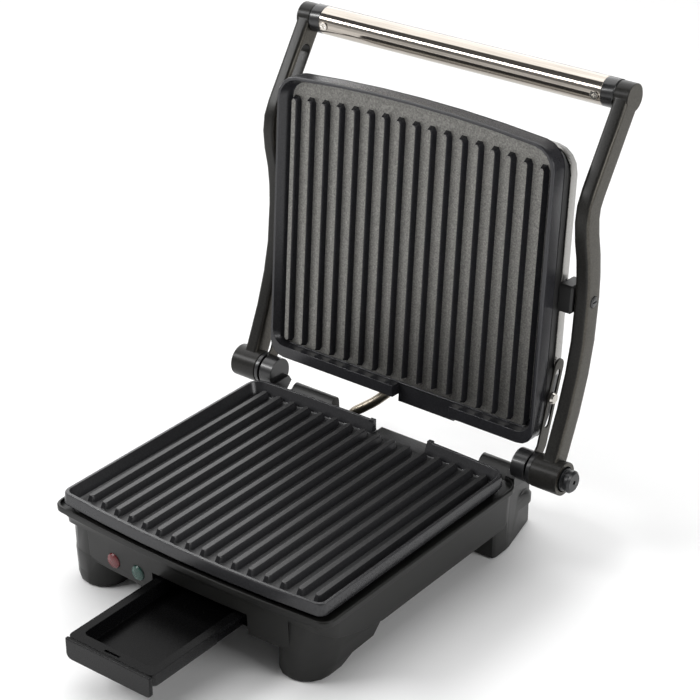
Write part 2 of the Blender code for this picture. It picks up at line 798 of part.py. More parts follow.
def slot_outline():
    """Long slot down the upper run of an arm."""
    way = arm_direction()
    side = Vector((-way.y, way.x))
    start = Vector(HANDLE) + way * 33.0 + side * 0.8
    end = Vector(HANDLE) + way * 84.0 + side * 0.8
    return strip([tuple(start), tuple(end)], 7.0)


def arm(label, side):
    body = solid(label + "_arm",
                 prism_x(strip(arm_path(), ARM_DEPTH / 2.0, 8), side * ARM_INNER,
                         side * ARM_OUTER), "dark_metal", parent=ARMS_AXIS)
    round_edges(body, 3.4, 3)
    join(body, rod_x(BARREL_RADIUS, side * BARREL_INNER, side * BARREL_OUTER, segments=32),
         parent=ARMS_AXIS)
    join(body, rod_x(12.6, side * ARM_INNER, side * ARM_OUTER, *HANDLE), parent=ARMS_AXIS)
    inner = side * (ARM_INNER - 2.0)
    outer = side * (ARM_OUTER + 2.0) if side < 0.0 else side * (ARM_INNER + 10.0)
    cut(body, prism_x(slot_outline(), inner, outer), parent=ARMS_AXIS)
    cut(body, rod_x(3.6, side * 160.0, side * 186.0, *PIVOT, segments=24), parent=ARMS_AXIS)
    cut(body, rod_x(5.6, side * 175.5, side * 186.0, *PIVOT, segments=24), parent=ARMS_AXIS)
    if side < 0.0:
        cut(body, rod_x(PIN_RADIUS + GAP, -150.0, -183.0, segments=24), parent=ARMS_AXIS)
    else:
        cut(body, rod_x(PIN_RADIUS + GAP, 150.0, 190.0, segments=24), parent=ARMS_AXIS)
        cut(body, rod_x(11.8, 167.0, 190.0), parent=ARMS_AXIS)


def pivot_screw(label, side):
    """Turned screw that carries the lid on an arm."""
    profile = [
        (0.0, 4.2), (4.0, 4.2), (5.2, 3.4), (5.2, 0.0), (3.3, 0.0), (3.3, -20.0), (0.0, -20.0),
    ]
    screw = turned("pivot_screw_" + label, profile, "steel", side * 175.9, ARMS_AXIS, side,
                   *PIVOT)
    slot = box(-0.7, 0.7, -3.0, 3.0, 2.6, 6.0)
    at = BASE @ Matrix.Translation(Vector((side * 175.9, *PIVOT)) * MM)
    cut(screw, slot, at @ Matrix.Rotation(math.radians(90.0 * side), 4, "Y"), ARMS_AXIS)


def handle():
    profile = [
        (HANDLE_RADIUS, HANDLE_HALF), (HANDLE_RADIUS, -HANDLE_HALF), (11.2, -HANDLE_HALF),
        (11.2, HANDLE_HALF),
    ]
    bar = turned("handle_tube", profile, "bright_steel", 0.0, ARMS_AXIS, 1.0, *HANDLE,
                 closed=True)
    for side in (-1.0, 1.0):
        x = side * 146.5
        y, z = HANDLE
        cut(bar, rod(4.4, (x, y - 20.0, z - 1.6), (x, y - 12.6, z - 1.0), 20), parent=ARMS_AXIS)
        cut(bar, rod(2.1, (x, y - 20.0, z - 1.6), (x, y - 5.0, z - 0.4), 16), parent=ARMS_AXIS)


def handle_collar(label, side):
    profile = [
        (0.0, 12.2), (HANDLE_RADIUS - 0.8, 12.2), (HANDLE_RADIUS, 11.4), (HANDLE_RADIUS, 0.0),
        (10.9, 0.0), (10.9, -16.0), (0.0, -16.0),
    ]
    collar = turned("handle_collar_" + label, profile, "gloss_black",
                    side * (HANDLE_HALF + GAP), ARMS_AXIS, side, *HANDLE)
    x = side * 146.5
    y, z = HANDLE
    cut(collar, rod(2.1, (x, y - 20.0, z - 1.6), (x, y - 1.0, z - 0.08), 16), parent=ARMS_AXIS)


def handle_screw(label, side):
    x = side * 146.5
    y, z = HANDLE
    screw = solid("handle_screw_" + label,
                  rod(3.9, (x, y - 14.0, z - 1.12), (x, y - 12.8, z - 1.024), 24), "bright_steel",
                  parent=ARMS_AXIS)
    join(screw, rod(1.8, (x, y - 13.4, z - 1.07), (x, y - 2.0, z - 0.16), 12), parent=ARMS_AXIS)
    cross = box(x - 2.2, x + 2.2, y - 15.0, y - 13.45, z - 1.5, z - 0.7)
    cut(screw, cross, parent=ARMS_AXIS)
    upright = box(x - 0.4, x + 0.4, y - 15.0, y - 13.45, z - 3.3, z + 1.1)
    cut(screw, upright, parent=ARMS_AXIS)


# ---------------------------------------------------------------- lid


def upper_grill_plate():
    plate = solid("upper_grill_plate", loft([
        lid_ring(6.0, -8.0), lid_ring(5.0, -7.0), lid_ring(5.0, -6.0), lid_ring(0.3, -5.99),
        lid_ring(0.0, 9.8), lid_ring(0.8, LID_RIM),
    ]), "nonstick", LID, LID_AXIS)
    cut(plate, loft([
        lid_ring(10.6, LID_FLOOR, 1.6, -4.6), lid_ring(9.4, LID_FLOOR + 0.9, 2.2, -4.2),
        lid_ring(3.2, LID_RIM, 8.6, -0.6),
        lid_ring(2.8, LID_RIM + 1.0, 9.0, -0.6),
    ]), LID, LID_AXIS)
    cut(plate, box(-132.0, 132.0, 50.0, 280.0, -9.0, -4.5), LID, LID_AXIS)
    ribs = bmesh.new()
    for k in range(UPPER_RIBS):
        x = (k - (UPPER_RIBS - 1) / 2.0) * RIB_PITCH
        top = 291.8 - LID_BOW * (x / LID_HALF) ** 2
        rib_loft(ribs, x, 38.5, top, LID_FLOOR, LID_RIB_TOP)
    join(plate, ribs, LID, LID_AXIS)
    cut(plate, box(-4.0, 60.0, 15.0, 44.0, 0.4, 20.0), LID, LID_AXIS)
    join(plate, box(-3.6, 59.6, 17.5, 30.0, -3.0, 0.4), LID, LID_AXIS)


def shell_ring(inset, h, grow=0.0):
    """Outline of the lid's rounded back at height h; its low end slopes so that it opens flat."""
    low = LID_LOW + max(inset * 1.2, (-10.0 - h) * 1.45)
    return outline(
        LID_HALF - inset + grow, low - grow, LID_HIGH - 10.5 - inset * 1.2 + grow,
        0.0, 5.0, 16.0, 20.0, h,
    )


def upper_housing():
    shell = solid("upper_housing", loft([
        shell_ring(24.0, LID_BACK + 1.2), shell_ring(15.0, -43.6), shell_ring(7.4, -37.0),
        shell_ring(2.6, -28.0), shell_ring(0.6, -18.0), shell_ring(0.5, -15.6),
        lid_ring(0.6, -12.0, 0.0, 4.0), lid_ring(0.0, -6.3),
    ]), "black_plastic", LID, LID_AXIS)
    cut(shell, loft([
        shell_ring(26.0, LID_BACK + 4.2, -3.0), shell_ring(16.0, -41.0, -3.0),
        shell_ring(10.0, -35.0, -2.6), shell_ring(5.0, -27.0, -3.0), shell_ring(1.0, -18.0, -4.0),
        shell_ring(1.0, -15.0, -4.0), lid_ring(4.2, -9.5), lid_ring(4.2, -2.0),
    ]), LID, LID_AXIS)
    cut(shell, rod(6.9, (-21.0, 15.0, -13.0), (-21.0, 40.0, -13.0), 24), LID, LID_AXIS)
    holes = rod_x(4.6, -152.0, -140.0, *PIVOT, segments=24)
    rod_x(4.6, 152.0, 140.0, *PIVOT, segments=24, bm=holes)
    cut(shell, holes, parent=LID_AXIS)


def upper_cover():
    """Stainless cover wrapped over the lid's back."""
    rings = ((24.0, LID_BACK), (15.0, -44.8), (7.4, -38.0), (2.6, -29.0), (0.6, -18.4),
             (0.6, -16.0))
    cover = solid("upper_cover", loft([
        shell_ring(inset, h, 1.3) for inset, h in rings
    ]), "steel", LID, LID_AXIS)
    cut(cover, loft([
        shell_ring(24.0, LID_BACK + 0.9, 0.3), shell_ring(15.0, -43.9, 0.35),
        shell_ring(7.4, -37.3, 0.4), shell_ring(2.6, -28.3, 0.45), shell_ring(0.6, -18.0, 0.5),
        shell_ring(0.6, -10.0, 0.5),
    ]), LID, LID_AXIS)
    cut(cover, box(-170.0, 170.0, 0.0, 86.0, -60.0, 0.0), LID, LID_AXIS)
    notches = box(-170.0, -148.0, 149.0, 177.0, -39.0, -8.0)
    box(148.0, 170.0, 149.0, 177.0, -39.0, -8.0, notches)
    cut(cover, notches, LID, LID_AXIS)


def pivot_block(label, side):
    """Block on the lid's side that the arm's screw turns in."""
    ring = []
    for x, trim in ((150.9, 0.0), (162.6, 0.0), (164.4, 1.8)):
        ring.append([
            (side * x, s, h) for s, h in (
                (150.0 + trim, -36.0 + trim), (153.0, -38.0 + trim), (173.0, -38.0 + trim),
                (176.0 - trim, -36.0 + trim), (176.0 - trim, -15.0 - trim),
                (173.0, -13.0 - trim), (153.0, -13.0 - trim), (150.0 + trim, -15.0 - trim),
            )
        ])
    block = solid("pivot_block_" + label, loft(ring), "black_plastic", LID, LID_AXIS)
    cut(block, rod_x(3.6, side * 154.5, side * 170.0, *PIVOT, segments=24), parent=LID_AXIS)


def guide_parts(label, side):
    s, h = 67.0, -12.4
    head = rod(5.6, (side * 154.7, s, h), (side * 157.0, s, h), 20, end_radius=4.4)
    screw = solid("guide_screw_" + label, head, "bright_steel", LID, LID_AXIS)
    join(screw, rod(2.0, (side * 146.0, s, h), (side * 155.4, s, h), 16), LID, LID_AXIS)
    collar = solid("guide_collar_" + label,
                   rod(5.4, (side * 150.8, s, h), (side * 152.5, s, h), 20), "black_plastic",
                   LID, LID_AXIS)
    cut(collar, rod(2.3, (side * 140.0, s, h), (side * 160.0, s, h), 16), LID, LID_AXIS)


def guide_bore():
    """Bores in the lid's sides for the guide screws."""
    holes = rod(2.3, (-156.0, 67.0, -12.4), (-140.0, 67.0, -12.4), 16)
    rod(2.3, (156.0, 67.0, -12.4), (140.0, 67.0, -12.4), 16, holes)
    cut(bpy.data.objects["upper_housing"], holes, LID, LID_AXIS)


def guide_link(label, side):
    """Slotted strip from the hinge to the guide screw."""
    low = lid_point(0.0, 24.0, -1.5)
    high = lid_point(0.0, 96.0, -19.5)
    path = [HINGE, (164.5, 4.0), (low.y, low.z), (high.y, high.z)]
    link = solid("guide_link_" + label,
                 prism_x(strip(path, 7.2), side * 152.7, side * 154.3), "dark_metal",
                 parent=GUIDE_AXIS)
    cut(link, rod_x(PIN_RADIUS + GAP, side * 150.0, side * 160.0, segments=24),
        parent=GUIDE_AXIS)
    start = lid_point(0.0, 44.0, -6.5)
    end = lid_point(0.0, 90.0, -18.0)
    cut(link, prism_x(strip([(start.y, start.z), (end.y, end.z)], 3.6), side * 150.0,
                      side * 160.0), parent=GUIDE_AXIS)


def upper_heating():
    path = [(x, y + 164.0, -8.2) for x, y, _ in rounded_loop(96.0, -92.0, 92.0, 30.0)]
    tube("upper_heating_element", path, 3.2, "dark_metal", parent=LID_AXIS, frame=LID)
    solid("upper_reflector", box(-118.0, 118.0, 52.0, 280.0, -18.0, -17.0), "aluminium", LID,
          LID_AXIS)
    solid("upper_fuse", rod(3.0, (40.0, 150.0, -22.0), (62.0, 150.0, -22.0), 16), "brass", LID,
          LID_AXIS)
    profile = [(6.6, 1.6), (7.5, 0.8), (7.5, 0.0), (6.6, -0.2), (6.6, -4.6), (5.4, -4.6), (5.4, 1.6)]
    grommet = turned("conduit_lid_grommet", profile, "black_plastic", 0.0, LID_AXIS, closed=True)
    turn = Matrix.Rotation(math.radians(90.0), 4, "X")
    at = Matrix.Translation(Vector((-21.0, 23.7, -13.0)) * MM)
    grommet.matrix_basis = LID @ at @ turn


# ---------------------------------------------------------------- tray and button


def drip_tray():
    def ring(inset, z, front, radius=5.0):
        return corner_box(TRAY_LEFT + inset, TRAY_RIGHT - inset, front, TRAY_INNER - inset, z,
                          (radius, radius, 4.0, 4.0))

    tray = solid("drip_tray", loft([
        ring(4.0, TRAY_BOTTOM, -240.0), ring(1.6, -50.6, -243.6), ring(0.6, -47.0, -246.0),
        ring(0.3, -39.0, -246.6), ring(0.5, TRAY_TOP, -246.4),
    ]), "black_plastic", parent=TRAY_AXIS)
    cut(tray, loft([
        corner_box(-18.5, 54.5, -232.0, -60.0, -50.0, (5, 5, 5, 5)),
        corner_box(-20.5, 56.5, -237.5, -58.0, -36.0, (5, 5, 5, 5)),
    ]), parent=TRAY_AXIS)
    cut(tray, box(10.0, 26.0, -244.0, -241.4, -40.5, -36.0), parent=TRAY_AXIS)
    sides = box(-40.0, -25.6, -168.0, -40.0, -60.0, -41.0)
    box(61.6, 80.0, -168.0, -40.0, -60.0, -41.0, sides)
    cut(tray, sides, parent=TRAY_AXIS)


def drip_tray_front():
    face = solid("drip_tray_front", loft([
        [(x, -250.0, z) for x, z in tray_face(0.8)],
        [(x, -249.3, z) for x, z in tray_face(0.0)],
        [(x, -246.9, z) for x, z in tray_face(0.0)],
    ]), "black_plastic", parent=TRAY_AXIS)
    return face


def tray_face(inset):
    ring = corner_box(-28.0 + inset, 65.0 - inset, -58.0 + inset, -38.0 - inset, 0.0,
                      (5.0, 5.0, 1.0, 1.0))
    return [(x, z) for x, z, _ in ring]


def release_button():
    profile = [
        (0.0, 20.0), (2.0, 20.0), (2.0, 23.6), (8.4, 23.6), (10.4, 21.6), (10.4, 18.6),
        (9.0, 18.0), (9.0, 15.6), (10.6, 15.0), (10.6, 0.0), (9.2, 0.0), (9.2, 8.8), (0.0, 8.8),
    ]
    turned("release_button", profile, "black_plastic", BUTTON_END - 23.6, BUTTON_AXIS)


def release_spring():
    points = []
    turns = 2.5
    steps = 30
    for k in range(steps + 1):
        a = 2.0 * math.pi * turns * k / steps
        x = 168.0 + 9.2 * k / steps
        points.append((x, HINGE[0] + 7.0 * math.cos(a), HINGE[1] + 7.0 * math.sin(a)))
    tube("release_spring", points, 0.5, "steel", resolution=1, parent=ARMS_AXIS)


# ---------------------------------------------------------------- assembly


def build():
    base_housing()
    base_bottom_cover()
    lower_grill_plate()
    lower_heating()
    base_electrics()
    lens("power_lens", LAMPS[0], "red_lens")
    lens("ready_lens", LAMPS[1], "green_lens")
    feet()
    inlet_gland()
    mirror_pair(hinge_bracket)
    mirror_pair(hinge_pin)
    mirror_pair(hinge_ring)
    conduit()
    mirror_pair(arm)
    mirror_pair(pivot_screw)
    handle()
    mirror_pair(handle_collar)
    mirror_pair(handle_screw)
    upper_grill_plate()
    upper_housing()
    upper_cover()
    mirror_pair(pivot_block)
    guide_bore()
    mirror_pair(guide_parts)
    mirror_pair(guide_link)
    upper_heating()
    drip_tray()
    drip_tray_front()
    release_button()
    release_spring()


build()
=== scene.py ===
"""Looks of the contact grill: materials, fine surface detail, studio and camera."""

import json
import math

import bmesh
import bpy
from mathutils import Matrix, Vector


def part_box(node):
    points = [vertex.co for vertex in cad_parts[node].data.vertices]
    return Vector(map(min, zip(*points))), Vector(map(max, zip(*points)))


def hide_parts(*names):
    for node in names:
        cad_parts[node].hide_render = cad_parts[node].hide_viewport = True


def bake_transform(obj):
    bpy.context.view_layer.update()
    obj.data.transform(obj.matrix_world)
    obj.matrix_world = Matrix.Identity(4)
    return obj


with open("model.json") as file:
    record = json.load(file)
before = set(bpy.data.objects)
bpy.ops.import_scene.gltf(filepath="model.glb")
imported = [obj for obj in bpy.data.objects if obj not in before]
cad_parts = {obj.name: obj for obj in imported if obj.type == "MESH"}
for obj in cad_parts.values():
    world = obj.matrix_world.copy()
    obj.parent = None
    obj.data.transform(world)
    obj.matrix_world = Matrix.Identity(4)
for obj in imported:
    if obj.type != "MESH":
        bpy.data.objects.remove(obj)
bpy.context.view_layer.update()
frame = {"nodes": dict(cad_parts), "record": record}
NODES = frame["nodes"]
SLOT_OF = {part["node"]: part["material_slot"] for part in frame["record"]["subparts"]}

MM = 0.001
UP = (0.0, 0.0, 1.0)
SIDEWAYS = (1.0, 0.0, 0.0)
LID_FACING = (0.0, -0.99745, 0.07132)
LID_UP = (0.0, 0.07132, 0.99745)
# Centre of the lower plate's rim, which the sizes below are counted from.
DATUM = Vector((-0.0055, -0.0090, 0.0820))
# Heights over the datum, in metres, along LID_FACING for the lid's rim and along LID_UP for
# the lower end of its ribs.
LID_RIM_LEVEL = -0.1577
LID_RIB_START = 0.0378
# The painted sheen on the flat coated faces ends this far below a rim, within this short distance.
SHEEN_BELOW_RIM = 0.0025
SHEEN_FADE = 0.0010
SMOOTHING_ANGLE = math.radians(34.0)

# ---------------------------------------------------------------- camera and view

CAMERA_PLACE = (1.03040, -1.24753, 1.05586)
CAMERA_RIGHT = (0.78993, 0.61319, -0.00294)
CAMERA_UP = (-0.28213, 0.36770, 0.88611)
CAMERA_BACK = (0.54444, -0.69913, 0.46346)
CAMERA_LENS = 110.40


def make_camera():
    data = bpy.data.cameras.new("camera")
    data.lens = CAMERA_LENS
    data.sensor_width = 36.0
    data.clip_start = 0.05
    data.clip_end = 60.0
    camera = bpy.data.objects.new("camera", data)
    bpy.context.scene.collection.objects.link(camera)
    matrix = Matrix.Identity(4)
    for row in range(3):
        matrix[row][0] = CAMERA_RIGHT[row]
        matrix[row][1] = CAMERA_UP[row]
        matrix[row][2] = CAMERA_BACK[row]
        matrix[row][3] = CAMERA_PLACE[row]
    camera.matrix_world = matrix
    bpy.context.scene.camera = camera


# ---------------------------------------------------------------- node helpers


class Shader:
    """A small builder for one procedural material."""

    def __init__(self, name):
        self.material = bpy.data.materials.new(name)
        self.material.use_nodes = True
        self.tree = self.material.node_tree
        self.nodes = self.tree.nodes
        self.surface = self.nodes["Principled BSDF"]
        self.coords = self.nodes.new("ShaderNodeTexCoord")

    def link(self, source, target):
        self.tree.links.new(source, target)

    def mapped(self, scale=(1.0, 1.0, 1.0), shift=(0.0, 0.0, 0.0)):
        mapping = self.nodes.new("ShaderNodeMapping")
        mapping.inputs["Scale"].default_value = scale
        mapping.inputs["Location"].default_value = shift
        self.link(self.coords.outputs["Object"], mapping.inputs["Vector"])
        return mapping.outputs["Vector"]

    def noise(self, scale, detail=2.0, roughness=0.5, vector=None):
        noise = self.nodes.new("ShaderNodeTexNoise")
        noise.inputs["Scale"].default_value = scale
        noise.inputs["Detail"].default_value = detail
        noise.inputs["Roughness"].default_value = roughness
        self.link(vector or self.coords.outputs["Object"], noise.inputs["Vector"])
        return noise.outputs["Fac"]

    def specks(self, scale):
        """Distance to the nearest of many scattered points."""
        cells = self.nodes.new("ShaderNodeTexVoronoi")
        cells.inputs["Scale"].default_value = scale
        self.link(self.coords.outputs["Object"], cells.inputs["Vector"])
        return cells.outputs["Distance"]

    def along(self, source, direction):
        """How far the coordinate named source reaches in a direction."""
        dot = self.nodes.new("ShaderNodeVectorMath")
        dot.operation = "DOT_PRODUCT"
        self.link(self.coords.outputs[source], dot.inputs[0])
        dot.inputs[1].default_value = direction
        return dot.outputs["Value"]

    def span(self, value, low, high, from_low=0.3, from_high=0.7):
        """The value's middle range carried to low..high."""
        remap = self.nodes.new("ShaderNodeMapRange")
        remap.inputs["From Min"].default_value = from_low
        remap.inputs["From Max"].default_value = from_high
        remap.inputs["To Min"].default_value = low
        remap.inputs["To Max"].default_value = high
        self.link(value, remap.inputs["Value"])
        return remap.outputs["Result"]

    def ramp(self, value, stops):
        ramp = self.nodes.new("ShaderNodeValToRGB")
        elements = ramp.color_ramp.elements
        while len(elements) < len(stops):
            elements.new(0.5)
        for element, (place, colour) in zip(elements, stops):
            element.position = place
            element.color = (*colour, 1.0)
        self.link(value, ramp.inputs["Fac"])
        return ramp.outputs["Color"]

    def mix(self, share, first, second):
        mix = self.nodes.new("ShaderNodeMix")
        mix.data_type = "RGBA"
        self.link(share, mix.inputs[0])
        for value, socket in ((first, mix.inputs[6]), (second, mix.inputs[7])):
            if isinstance(value, tuple):
                socket.default_value = (*value, 1.0)
            else:
                self.link(value, socket)
        return mix.outputs[2]

    def add(self, first, second, share=1.0):
        """first + share * second."""
        node = self.nodes.new("ShaderNodeMath")
        node.operation = "MULTIPLY_ADD"
        self.link(second, node.inputs[0])
        node.inputs[1].default_value = share
        self.link(first, node.inputs[2])
        return node.outputs["Value"]

    def times(self, first, second):
        node = self.nodes.new("ShaderNodeMath")
        node.operation = "MULTIPLY"
        self.link(first, node.inputs[0])
        self.link(second, node.inputs[1])
        return node.outputs["Value"]

    def size(self, value):
        """The value without its sign."""
        node = self.nodes.new("ShaderNodeMath")
        node.operation = "ABSOLUTE"
        self.link(value, node.inputs[0])
        return node.outputs["Value"]

    def colour(self, value):
        self.link(value, self.surface.inputs["Base Color"])

    def roughness(self, value):
        self.link(value, self.surface.inputs["Roughness"])

    def by_share(self, name, share, low, high):
        """The surface's named input, low where share is 0 and high where it is 1."""
        self.link(self.span(share, low, high, 0.0, 1.0), self.surface.inputs[name])

    def relief(self, height, distance, strength=1.0, edge=0.0):
        """Bump from a height texture over edges rounded by the edge radius."""
        bump = self.nodes.new("ShaderNodeBump")
        bump.inputs["Strength"].default_value = strength
        bump.inputs["Distance"].default_value = distance
        self.link(height, bump.inputs["Height"])
        if edge > 0.0:
            rounded = self.nodes.new("ShaderNodeBevel")
            rounded.samples = 6
            rounded.inputs["Radius"].default_value = edge
            self.link(rounded.outputs["Normal"], bump.inputs["Normal"])
        self.link(bump.outputs["Normal"], self.surface.inputs["Normal"])

    def fixed(self, **values):
        for name, value in values.items():
            self.surface.inputs[name.replace("_", " ")].default_value = value
        return self


def moulded(name, dark, light, rough=(0.36, 0.48), grain=900.0, depth=0.00006, edge=0.0006,
            **values):
    """Moulded plastic with a fine grain and slow changes of tone."""
    shader = Shader(name)
    slow = shader.noise(14.0, 3.0)
    fine = shader.noise(grain, 3.0, 0.6)
    shader.colour(shader.ramp(shader.add(slow, fine, 0.25), [(0.45, dark), (0.80, light)]))
    shader.roughness(shader.span(slow, rough[0], rough[1]))
    shader.relief(fine, depth, 0.5, edge)
    shader.fixed(**values)
    return shader.material


def nonstick(name, facing, rim, sheen_tone, dark, flat_rough, flat_metal, along=None, start=0.0):
    """Dark nonstick coating with a painted sheen: faces along facing, below the rim's level and
    beyond start in the direction along, get a lighter grainy, speckled colour standing in for the
    light they catch; elsewhere the coating is smooth and dark."""
    shader = Shader(name)
    # Share of the painted sheen: faces turned along facing, below the rim and beyond start.
    sheen_share = shader.span(shader.along("Normal", facing), 0.0, 1.0, 0.80, 0.97)
    height = shader.along("Object", facing)
    edge = rim - SHEEN_BELOW_RIM
    sheen_share = shader.times(sheen_share, shader.span(height, 1.0, 0.0, edge - SHEEN_FADE, edge))
    if along:
        reach = shader.along("Object", along)
        beyond = shader.span(reach, 0.0, 1.0, start - 0.0006, start + 0.0006)
        sheen_share = shader.times(sheen_share, beyond)
    mottle = shader.noise(640.0, 3.0, 0.7)
    slow = shader.noise(7.0, 2.0)
    low = tuple(value * 0.62 for value in sheen_tone)
    high = tuple(value * 1.55 for value in sheen_tone)
    grain = shader.ramp(mottle, [(0.34, low), (0.52, sheen_tone), (0.72, high)])
    flake = shader.span(shader.specks(880.0), 0.55, 0.0, 0.05, 0.24)
    # The painted sheen colour, lighter and speckled, stands in for the light the flat faces catch;
    # side is the plain dark coating.
    painted_sheen = shader.mix(flake, grain, high)
    side = shader.ramp(mottle, [(0.4, dark), (0.7, tuple(value * 1.5 for value in dark))])
    shader.colour(shader.mix(sheen_share, side, painted_sheen))
    shader.by_share("Roughness", sheen_share, 0.26, flat_rough)
    shader.by_share("Metallic", sheen_share, 0.15, flat_metal)
    shader.relief(shader.add(mottle, slow, 0.5), 0.00006, 0.5, 0.0008)
    return shader.material


def arm_finish():
    """Black painted metal with a painted sheen: the arm's two sideways faces get a lighter,
    metallic colour standing in for the light they catch, while its edges and round ends stay satin
    black.
    """
    shader = Shader("arm_metal")
    mottle = shader.noise(700.0, 3.0, 0.6)
    sideways = shader.size(shader.along("Normal", SIDEWAYS))
    # Painted sheen: the sideways faces take the lighter colour bright, the rest keeps the arm's
    # own black.
    side = shader.span(sideways, 0.0, 1.0, 0.55, 0.80)
    bright = shader.ramp(mottle, [(0.35, (0.048, 0.044, 0.037)), (0.65, (0.082, 0.076, 0.064))])
    black = shader.ramp(mottle, [(0.35, (0.014, 0.0135, 0.0125)), (0.65, (0.024, 0.023, 0.021))])
    shader.colour(shader.mix(side, black, bright))
    shader.roughness(shader.span(mottle, 0.28, 0.38))
    shader.by_share("Metallic", side, 0.0, 0.75)
    shader.by_share("Specular IOR Level", side, 0.20, 0.50)
    shader.relief(mottle, 0.00003, 0.6, 0.0010)
    return shader.material


def tray_plastic():
    """Smooth black plastic, with a painted shade on the tray's floor: its upward faces are darker
    and less specular than its walls.
    """
    shader = Shader("tray_plastic")
    mottle = shader.noise(1100.0, 3.0, 0.6)
    # Painted shade: the upward faces, the tray's floor, get a darker colour standing in for the
    # shade inside the tray.
    upward = shader.span(shader.along("Normal", UP), 0.0, 1.0, 0.90, 0.98)
    walls = shader.ramp(mottle, [(0.35, (0.0030, 0.0030, 0.0034)),
                                 (0.65, (0.0060, 0.0060, 0.0066))])
    shaded_floor_tone = shader.ramp(mottle, [(0.35, (0.0012, 0.0012, 0.0013)),
                                       (0.65, (0.0024, 0.0024, 0.0026))])
    shader.colour(shader.mix(upward, walls, shaded_floor_tone))
    shader.roughness(shader.span(mottle, 0.22, 0.32))
    shader.by_share("Specular IOR Level", upward, 0.24, 0.05)
    shader.relief(mottle, 0.00003, 0.6, 0.0006)
    return shader.material


def metal(name, dark, light, rough, grain=500.0, depth=0.00003, stretch=(1.0, 1.0, 1.0),
          edge=0.0005, metallic=1.0, **values):
    """Metal with a grain that may be drawn out along one axis."""
    shader = Shader(name)
    drawn = shader.mapped(stretch)
    fine = shader.noise(grain, 4.0, 0.6, drawn)
    slow = shader.noise(11.0, 2.0)
    shader.colour(shader.ramp(shader.add(fine, slow, 0.3), [(0.45, dark), (0.85, light)]))
    shader.roughness(shader.span(shader.add(fine, slow, 0.3), rough[0], rough[1], 0.4, 0.9))
    shader.relief(fine, depth, 0.4, edge)
    shader.fixed(Metallic=metallic, **values)
    return shader.material


def lamp_lens(name, deep, bright, centre):
    """Tinted lens with fine moulded rings round its middle."""
    shader = Shader(name)
    shift = tuple(-value for value in centre)
    placed = shader.mapped(shift=shift)
    rings = shader.nodes.new("ShaderNodeTexWave")
    rings.wave_type = "RINGS"
    rings.rings_direction = "Y"
    rings.inputs["Scale"].default_value = 330.0
    rings.inputs["Distortion"].default_value = 0.4
    shader.link(placed, rings.inputs["Vector"])
    glitter = shader.noise(1300.0, 2.0)
    shader.colour(shader.ramp(shader.add(rings.outputs["Fac"], glitter, 0.5),
                              [(0.25, deep), (0.95, bright)]))
    shader.roughness(shader.span(glitter, 0.08, 0.26))
    shader.relief(rings.outputs["Fac"], 0.0002, 0.7, 0.0006)
    shader.fixed(IOR=1.49, Coat_Weight=0.15, Coat_Roughness=0.12)
    return shader.material


# ---------------------------------------------------------------- finishes


def level(name, facing, height):
    """A height over the datum along facing, in the node's own coordinates."""
    return Vector(facing).dot(DATUM - NODES[name].matrix_world.translation) + height


